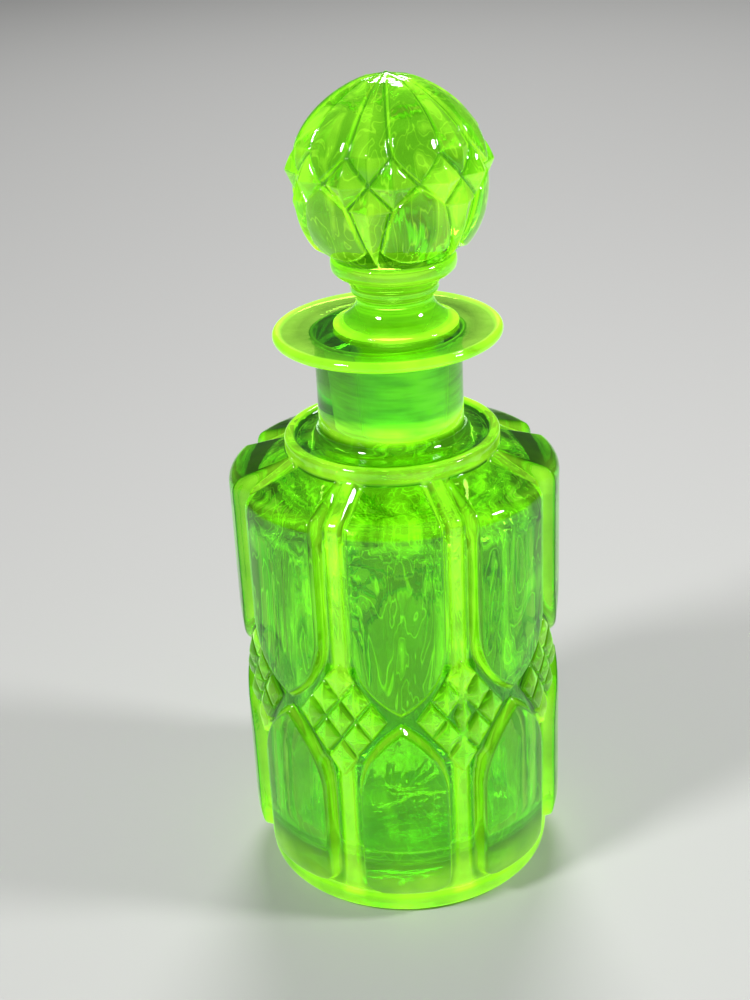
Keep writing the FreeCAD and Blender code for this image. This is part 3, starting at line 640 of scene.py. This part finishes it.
def knob_relief(z, psi, gap_psi):
    """Radius and glow at height z.

    psi is degrees from the nearest petal's middle, gap_psi from the nearest gap's.
    """
    face_r = float(knob_face(z))
    shrink = min(1.0, face_r / 9.0)
    ground_r = face_r - KNOB_GROOVE * shrink
    degree = math.radians(1) * face_r
    above = z > EQUATOR_Z

    # wedges: creased ridges between the petals, half_w wide at this height
    if above:
        half_w = WEDGE_HALF_UP * np.clip((TIP_Z - z) / (TIP_Z - WEDGE_FULL_Z), 0, 1) ** 0.75
        vee = PETAL_OPEN_UP * max(z - EQUATOR_Z - 0.2, 0)
        crest_v = (z - WEDGE_HIGH_Z) / BELT_UP
        roof_h = WEDGE_RISE * shrink
    else:
        narrow = np.clip((z - WEDGE_END_Z) / (WEDGE_LOW_Z - WEDGE_END_Z), 0, 1)
        half_w = WEDGE_HALF_DOWN * narrow
        vee = PETAL_OPEN_DOWN * max(EQUATOR_Z - 0.2 - z, 0)
        crest_v = (WEDGE_LOW_Z - z) / BELT_DOWN
        roof_h = WEDGE_RISE * np.clip((z - WEDGE_END_Z + 0.5) / 1.5, 0, 1)
    gap_mm = np.abs(gap_psi) * degree
    limit = SECTOR / 2 - (half_w + 0.30 * shrink) / degree
    reach = float(soft_min(vee, limit, 1.6))
    side = (reach - np.abs(psi)) * degree
    if not above:
        scallop = SCALLOP_Z + 1.9 * (np.abs(psi) / 22.0) ** 2.5
        side = np.minimum(side, (z - scallop) * 1.2)
    petal = bevel(side, 0.0, PETAL_BEVEL)
    off_middle = np.clip(np.abs(psi) / max(reach, 1.0), 0, 1)
    bulge = PETAL_BULGE * (1 - off_middle ** 2) - PETAL_SINK
    petal_r = ground_r + (face_r - ground_r + bulge * shrink) * petal

    # the belt: pairs of four-sided points, and a matching end on each wedge
    u = gap_psi / BELT_SIDE
    v = (z - EQUATOR_Z) / (BELT_UP if above else BELT_DOWN)
    belt = np.zeros_like(u)
    sparkle = np.zeros_like(u)
    for uc in (-1, 1):
        t = np.clip(1 - (np.abs(u - uc) + abs(v)) / CELL_SCALE, 0, 1)
        point = POINT_EDGE * bevel(t, 0, 0.10) + (KNOB_TIP_R - ground_r - POINT_EDGE) * t
        belt = np.maximum(belt, point)
        # painted light and shade: the facets of each point are painted lighter and darker in turn
        sparkle += bevel(t, 0.02, 0.12) * FACET_GLOW * np.sign((u - uc) * v)
    if crest_v < 0:
        t = np.clip(1 - (np.abs(u) + abs(crest_v)) / CELL_SCALE, 0, 1)
        roof = POINT_EDGE * bevel(t, 0, 0.10) + WEDGE_POINT * t
    else:
        across = np.clip(1 - gap_mm / max(half_w, 0.05), 0, 1)
        shoulder = 1 + 0.28 * math.exp(-(crest_v / 0.3) ** 2)
        roof = 0.30 * shrink * bevel(across, 0, 0.12) + roof_h * across * shoulder
    rise = np.maximum(belt, roof)
    on_roof = (roof > belt) & (roof > petal_r - ground_r)
    # painted light and shade on the two sides of a wedge's roof
    sparkle += on_roof * FACET_GLOW * np.sign(gap_psi) * (1 if crest_v < 0 else -1)
    r = np.maximum(petal_r, ground_r + rise)
    # painted light: petal faces, wedges and petal edge lines are painted brighter, grooves darker,
    # lower petals brighter than upper
    flat = np.clip(np.maximum(petal, rise / 0.4), 0, 1)
    petal_glow = UPPER_PETAL_GLOW if above else LOWER_PETAL_GLOW
    glow = KNOB_GROOVE_GLOW + petal_glow * flat + PETAL_LINE * petal * (1 - petal) * 4
    glow = glow + WEDGE_GLOW * np.clip(rise / 1.2, 0, 1)
    glow = np.clip(glow + sparkle, 0.01, None)
    return r, glow


def make_stopper():
    mesh = RingMesh()
    columns = np.arange(KNOB_COLUMNS) * 360 / KNOB_COLUMNS
    angle = np.radians(columns)
    coarse = angle[::4]
    psi = (columns - PETAL_TURN + SECTOR / 2) % SECTOR - SECTOR / 2
    gap_psi = (columns - PETAL_TURN) % SECTOR - SECTOR / 2
    seam_gap = np.abs((columns - PETAL_TURN - SECTOR / 2 + 90) % 180 - 90)
    seam = (SEAM_H * np.exp(-(np.radians(seam_gap) * 9 / SEAM_HALF) ** 2))[::4]

    # the plug follows the bore's taper, with a hair of room all round
    foot_z = LIP_TOP_Z + FOOT_GAP
    plug_top_z = LIP_TOP_Z - 0.6
    taper = (BORE_TOP_R - BORE_LOW_R) / (LIP_TOP_Z - BORE_LOW_Z - 0.5)
    top_r = BORE_TOP_R - PLUG_GAP
    low_r = BORE_LOW_R - PLUG_GAP + taper * (PLUG_LOW_Z + PLUG_ROUND - BORE_LOW_Z)

    mesh.add_ring(ring_points(coarse, 1.0, PLUG_LOW_Z, BORE_OFF), MID, 0.6)
    first_ring = mesh.last
    for r in (4.0, 6.5, low_r - PLUG_ROUND):
        mesh.add_ring(ring_points(coarse, r, PLUG_LOW_Z, BORE_OFF), SEAT, 0.6)
    plug_round = (low_r - PLUG_ROUND, PLUG_LOW_Z + PLUG_ROUND)
    # painted light: the plug's lower edge is painted bright
    for r, z in arc_points(plug_round, PLUG_ROUND, -60, 0, 4):
        mesh.add_ring(ring_points(coarse, r, z, BORE_OFF), STRONG, 1.0)
    for z in np.linspace(PLUG_LOW_Z + 2, plug_top_z, 12):
        share = (z - PLUG_LOW_Z - PLUG_ROUND) / (plug_top_z - PLUG_LOW_Z - PLUG_ROUND)
        r = low_r + (top_r - low_r) * share
        mesh.add_ring(ring_points(coarse, r, z, BORE_OFF), seat_glow(z), 1.0)
    mesh.add_ring(ring_points(coarse, top_r - 0.3, LIP_TOP_Z - 0.2, BORE_OFF), SEAT, 0.3)
    mesh.add_ring(ring_points(coarse, top_r - 0.3, foot_z, BORE_OFF), SEAT)

    # foot, waist, step ring and collar, from the lip up to the knob
    outline = [(FOOT_R - 1.4, foot_z), (FOOT_R - 0.45, foot_z)]
    outline += arc_points((FOOT_R - 0.45, foot_z + 0.45), 0.45, -60, 60, 5)
    outline += [(FOOT_R - 0.55, foot_z + 0.95), (FOOT_R - 1.6, foot_z + 1.45)]
    outline += [(FOOT_R - 2.9, foot_z + 2.4), (WAIST_R + 0.75, WAIST_Z - 1.35)]
    outline += [(WAIST_R + 0.18, WAIST_Z - 0.3), (WAIST_R, WAIST_Z + 0.6)]
    outline += [(WAIST_R + 0.02, WAIST_Z + 1.2), (WAIST_R + 0.3, STEP_RING_Z - 0.5)]
    outline += [(STEP_RING_R - 0.1, STEP_RING_Z - 0.25), (STEP_RING_R + 0.1, STEP_RING_Z + 0.25)]
    outline += [(STEP_RING_R - 0.05, STEP_RING_Z + 0.75), (STEP_RING_R + 0.2, STEP_RING_Z + 1.35)]
    outline += [(STEP_RING_R + 0.9, STEP_RING_Z + 2.2), (STEP_RING_R + 1.8, STEP_RING_Z + 3.0)]
    outline += [(COLLAR_R - 0.9, COLLAR_LOW_Z - 0.15), (COLLAR_R - 0.2, COLLAR_LOW_Z + 0.55)]
    outline += [(COLLAR_R, COLLAR_LOW_Z + 1.4), (COLLAR_R - 0.02, COLLAR_LOW_Z + 2.3)]
    outline += [(COLLAR_R - 0.25, KNOB_LOW_Z + 0.1)]
    for r, z in outline:
        # painted light: the stem is painted brighter at the collar and at the foot
        at_collar = ramp(z, STEP_RING_Z + 2.5, COLLAR_LOW_Z + 0.5)
        at_foot = 1 - ramp(z, foot_z + 0.8, foot_z + 2.5)
        glow = STEM_GLOW + (STRONG - STEM_GLOW) * max(float(at_collar), float(at_foot))
        mesh.add_ring(ring_points(coarse, r + seam, z, BORE_OFF), glow)

    for z in knob_heights(KNOB_ROWS):
        r, glow = knob_relief(z, psi, gap_psi)
        mesh.add_ring(ring_points(angle, r, z, BORE_OFF), glow, inner=KNOB_RIPPLE)
    mesh.close(mesh.last, (BORE_OFF, 0, TIP_Z), RIM, True)
    mesh.close(first_ring, (BORE_OFF, 0, PLUG_LOW_Z), MID, False)
    return mesh.build("stopper_glass")


# ------------------------------------------------------------------ material
GLASS_IOR = 1.52
GLASS_SPECULAR = 0.34
POLISHED = 0.015                     # roughness of the fire-polished skin
MATT = 0.42                          # and of the ground joint
GLASS_COLOUR = (0.32, 0.64, 0.02, 1)
BOTTLE_DENSITY = 115.0
STOPPER_DENSITY = 85.0
RIPPLE_HEIGHT = 0.0012               # metres
OUTSIDE_RIPPLE = 0.06                # strength of the ripples outside and inside
INSIDE_RIPPLE = 0.22
GLOW_COLOURS = [(0.0, (0.27, 1.0, 0.0, 1)), (0.5, (0.43, 1.0, 0.03, 1))]
# painted shade: the base colour darkens where the painted glow is least, in grooves and creases
CREASE_SHADE_COLOURS = [
    (0.0, (0.10, 0.34, 0.02, 1)),
    (0.045, (0.40, 0.80, 0.08, 1)),
    (0.11, (0.56, 0.92, 0.13, 1)),
    (0.30, (0.68, 0.98, 0.20, 1)),
]


class Nodes:
    """Short ways to add the nodes that the glass needs."""

    def __init__(self, mat):
        mat.use_nodes = True
        self.nodes = mat.node_tree.nodes
        self.links = mat.node_tree.links
        self.nodes.clear()

    def add(self, kind, **settings):
        node = self.nodes.new(kind)
        for key, value in settings.items():
            setattr(node, key, value)
        return node

    def mark(self, name):
        return self.add("ShaderNodeAttribute", attribute_name=name).outputs["Fac"]

    def stretched(self, source, scale):
        node = self.add("ShaderNodeMapping")
        node.inputs["Scale"].default_value = scale
        self.links.new(source, node.inputs["Vector"])
        return node.outputs["Vector"]

    def noise(self, source, scale, detail, distortion=0.0):
        node = self.add("ShaderNodeTexNoise")
        node.inputs["Scale"].default_value = scale
        node.inputs["Detail"].default_value = detail
        node.inputs["Distortion"].default_value = distortion
        self.links.new(source, node.inputs["Vector"])
        return node.outputs["Fac"]

    def remap(self, source, low, high, to_low, to_high, kind="LINEAR"):
        node = self.add("ShaderNodeMapRange", interpolation_type=kind)
        values = {"From Min": low, "From Max": high, "To Min": to_low, "To Max": to_high}
        for key, value in values.items():
            node.inputs[key].default_value = value
        self.links.new(source, node.inputs["Value"])
        return node.outputs["Result"]

    def math(self, operation, *values):
        node = self.add("ShaderNodeMath", operation=operation)
        for socket, value in zip(node.inputs, values):
            if isinstance(value, float):
                socket.default_value = value
            else:
                self.links.new(value, socket)
        return node.outputs[0]

    def colours(self, source, stops):
        node = self.add("ShaderNodeValToRGB")
        elements = node.color_ramp.elements
        elements[0].position, elements[0].color = stops[0]
        elements[1].position, elements[1].color = stops[-1]
        for place, colour in stops[1:-1]:
            elements.new(place).color = colour
        self.links.new(source, node.inputs["Fac"])
        return node.outputs["Color"]


def uranium_glass(name, density):
    mat = bpy.data.materials.new(name)
    kit = Nodes(mat)
    link = kit.links.new
    out = kit.add("ShaderNodeOutputMaterial")
    glass = kit.add("ShaderNodeBsdfPrincipled")
    glass.inputs["IOR"].default_value = GLASS_IOR
    glass.inputs["Transmission Weight"].default_value = 1.0
    glass.inputs["Specular IOR Level"].default_value = GLASS_SPECULAR
    place = kit.add("ShaderNodeTexCoord").outputs["Object"]
    glow = kit.mark("glow")
    ground = kit.mark("ground")
    inner = kit.mark("inner")

    # slow drifts in the melt, seen as lighter and darker patches
    drift = kit.noise(place, 110.0, 3.0)
    patches = kit.remap(drift, 0.3, 0.7, 0.62, 1.30)

    # fine level scratches left on the ground joint
    scratch = kit.noise(kit.stretched(place, (0.10, 0.10, 1.0)), 1500.0, 4.0)
    uneven = kit.remap(scratch, 0.3, 0.7, -0.6, 0.6)
    matt = kit.math("MULTIPLY_ADD", uneven, ground, patches)

    # chill marks: long ripples that pressing leaves, strong on the inside wall, faint outside
    ripple = kit.noise(kit.stretched(place, (1.0, 1.0, 0.20)), 170.0, 2.5, 0.9)
    bump = kit.add("ShaderNodeBump")
    bump.inputs["Distance"].default_value = RIPPLE_HEIGHT
    strength = kit.remap(inner, 0.0, 1.0, OUTSIDE_RIPPLE, INSIDE_RIPPLE)
    link(strength, bump.inputs["Strength"])
    link(ripple, bump.inputs["Height"])
    link(bump.outputs["Normal"], glass.inputs["Normal"])

    # painted light: the ripples are painted with bright streaks, and thin bright threads where
    # they turn over
    streak = kit.remap(ripple, 0.54, 0.64, 0.0, 0.50, "SMOOTHSTEP")
    fold = kit.math("PINGPONG", ripple, 0.055)
    thread = kit.remap(fold, 0.0, 0.011, 0.60, 0.0, "SMOOTHSTEP")
    gathered = kit.math("ADD", streak, thread)
    even = kit.math("MULTIPLY", glow, matt)
    light = kit.math("MULTIPLY_ADD", gathered, inner, even)
    link(light, glass.inputs["Emission Strength"])
    link(kit.colours(light, GLOW_COLOURS), glass.inputs["Emission Color"])

    # painted shade: the base colour is darkest in creases where the glow is least, and clear on
    # crests and the inside
    clear = kit.math("MAXIMUM", even, inner)
    link(kit.colours(clear, CREASE_SHADE_COLOURS), glass.inputs["Base Color"])

    # fire-polished skin against the matt ground seat
    link(kit.remap(ground, 0.0, 1.0, POLISHED, MATT), glass.inputs["Roughness"])

    body = kit.add("ShaderNodeVolumeAbsorption")
    body.inputs["Color"].default_value = GLASS_COLOUR
    body.inputs["Density"].default_value = density
    link(body.outputs["Volume"], out.inputs["Volume"])
    link(glass.outputs["BSDF"], out.inputs["Surface"])
    return mat


# ------------------------------------------------------------------ pieces
bottle = make_bottle()
bottle.data.materials.append(uranium_glass("bottle_uranium_glass", BOTTLE_DENSITY))
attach(bottle, "bottle")
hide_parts("bottle")

stopper = make_stopper()
stopper.data.materials.append(uranium_glass("stopper_uranium_glass", STOPPER_DENSITY))
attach(stopper, "stopper")
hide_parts("stopper")


# ------------------------------------------------------------------ stage
FLOOR_REACH = 40                     # the floor runs this many object heights each way
FLOOR_GAP = 0.0002                   # metres
FLOOR_COLOUR = (0.44, 0.44, 0.43, 1)
SKY_COLOUR = (0.82, 0.83, 0.85, 1)
SKY_STRENGTH = 0.10
# name, place and width in object heights, power in watts
LIGHTS = [
    ("key", (-3.0, -2.2, 4.2), 1.0, 6.0),
    ("fill", (3.4, -0.6, 3.2), 0.7, 3.6),
    ("overhead", (0.4, 6.5, 7.5), 4.0, 17.0),
]


def make_stage():
    low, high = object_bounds()
    size = high.z * FLOOR_REACH
    mesh = bpy.data.meshes.new("floor")
    verts = [(-size, -size, 0), (size, -size, 0), (size, size, 0), (-size, size, 0)]
    mesh.from_pydata(verts, [], [(0, 1, 2, 3)])
    floor = bpy.data.objects.new("floor", mesh)
    bpy.context.scene.collection.objects.link(floor)
    floor.location.z = low.z - FLOOR_GAP
    mat = bpy.data.materials.new("pale_floor")
    mat.use_nodes = True
    shader = mat.node_tree.nodes["Principled BSDF"]
    shader.inputs["Base Color"].default_value = FLOOR_COLOUR
    shader.inputs["Roughness"].default_value = 0.6
    mesh.materials.append(mat)
    floor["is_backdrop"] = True


def soft_light(name, place, target, size, power):
    lamp = bpy.data.lights.new(name, "AREA")
    lamp.shape = "DISK"
    lamp.size = size
    lamp.energy = power
    obj = bpy.data.objects.new(name, lamp)
    obj.location = place
    obj.rotation_euler = (target - place).to_track_quat("-Z", "Y").to_euler()
    bpy.context.scene.collection.objects.link(obj)


def make_light():
    low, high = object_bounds()
    tall = high.z - low.z
    middle = Vector((0, 0, low.z + tall / 2))
    for name, place, width, power in LIGHTS:
        soft_light(name, Vector(place) * tall, middle, tall * width, power)
    world = bpy.data.worlds.new("studio")
    world.use_nodes = True
    sky = world.node_tree.nodes["Background"]
    sky.inputs["Color"].default_value = SKY_COLOUR
    sky.inputs["Strength"].default_value = SKY_STRENGTH
    bpy.context.scene.world = world


# ------------------------------------------------------------------ camera
LENS_MM = 57.6
SENSOR_MM = 36.0
CAMERA_AWAY = 13.117 * LIP_R         # from the bottle's axis, level
CAMERA_UP = 9.865 * LIP_R            # above the table
CAMERA_ROUND = 1.14                  # degrees right of the front panel's middle
CAMERA_YAW = -0.795
CAMERA_PITCH = 25.51
CAMERA_ROLL = -2.88


def make_camera():
    yaw, pitch, roll = (math.radians(a) for a in (CAMERA_YAW, CAMERA_PITCH, CAMERA_ROLL))
    level = math.cos(pitch)
    ahead = Vector((math.sin(yaw) * level, math.cos(yaw) * level, -math.sin(pitch)))
    right = Vector((math.cos(yaw), -math.sin(yaw), 0))
    up = right.cross(ahead)
    right2 = math.cos(roll) * right + math.sin(roll) * up
    up2 = math.cos(roll) * up - math.sin(roll) * right
    place = Vector((0, -CAMERA_AWAY, CAMERA_UP)) * MM
    turn = Matrix.Rotation(math.radians(CAMERA_ROUND), 4, "Z")
    matrix = Matrix((right2, up2, -ahead)).transposed().to_4x4()
    data = bpy.data.cameras.new("camera")
    data.lens = LENS_MM
    data.sensor_width = SENSOR_MM
    cam = bpy.data.objects.new("camera", data)
    cam.matrix_world = turn @ Matrix.Translation(place) @ matrix
    bpy.context.scene.collection.objects.link(cam)
    bpy.context.scene.camera = cam


make_stage()
make_light()
make_camera()
bpy.context.scene.view_settings.view_transform = "Standard"
